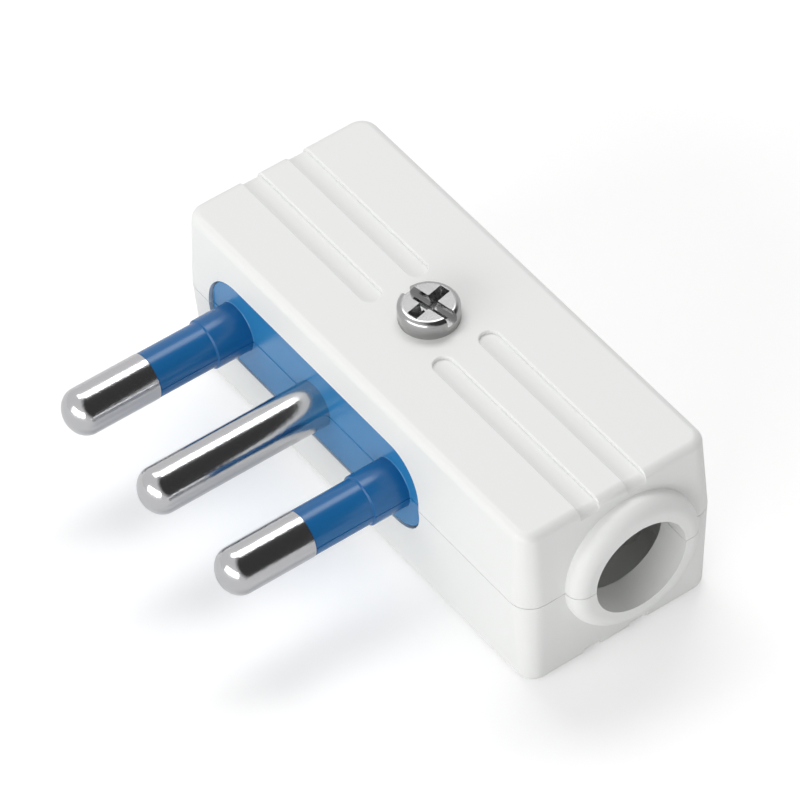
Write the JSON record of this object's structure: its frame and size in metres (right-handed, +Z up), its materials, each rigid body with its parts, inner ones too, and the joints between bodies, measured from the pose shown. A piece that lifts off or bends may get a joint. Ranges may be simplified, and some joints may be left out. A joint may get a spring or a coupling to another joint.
{
  "type": "right-angle mains plug",
  "caption": "Flat two-shell rewirable mains plug with round pins in a row on its long side, insulated outer pins and a collared cable entry in its end.",
  "frame": {"origin": "where the earth pin's axis meets the housing's front face, on the plane where the two shells part", "axes": "+X along the housing to the cable entry, the pins point to -Y, +Z up through the cover and its closing screw"},
  "size_m": [0.0582, 0.0429, 0.0229],
  "materials": {
    "white_housing": "white moulded urea or polyamide, satin gloss",
    "blue_carrier": "blue moulded thermoplastic, glossy",
    "plated_pin": "turned brass, bright nickel plated",
    "terminal_brass": "bare machined brass",
    "plated_screw": "steel, nickel plated",
    "grip_plastic": "light grey moulded polyamide"
  },
  "bodies": {
    "root": {"upper_shell": "white_housing", "lower_shell": "white_housing", "pin_carrier": "blue_carrier", "line_pin": "plated_pin", "neutral_pin": "plated_pin", "earth_pin": "plated_pin", "closing_screw": "plated_screw", "closing_nut": "plated_screw", "line_terminal": "terminal_brass", "neutral_terminal": "terminal_brass", "earth_terminal": "terminal_brass", "line_terminal_screw": "plated_screw", "neutral_terminal_screw": "plated_screw", "earth_terminal_screw": "plated_screw", "line_wire_plate": "plated_screw", "neutral_wire_plate": "plated_screw", "earth_wire_plate": "plated_screw", "cord_grip_bar": "grip_plastic", "cord_grip_screw_front": "plated_screw", "cord_grip_screw_rear": "plated_screw"}
  },
  "joints": []
}
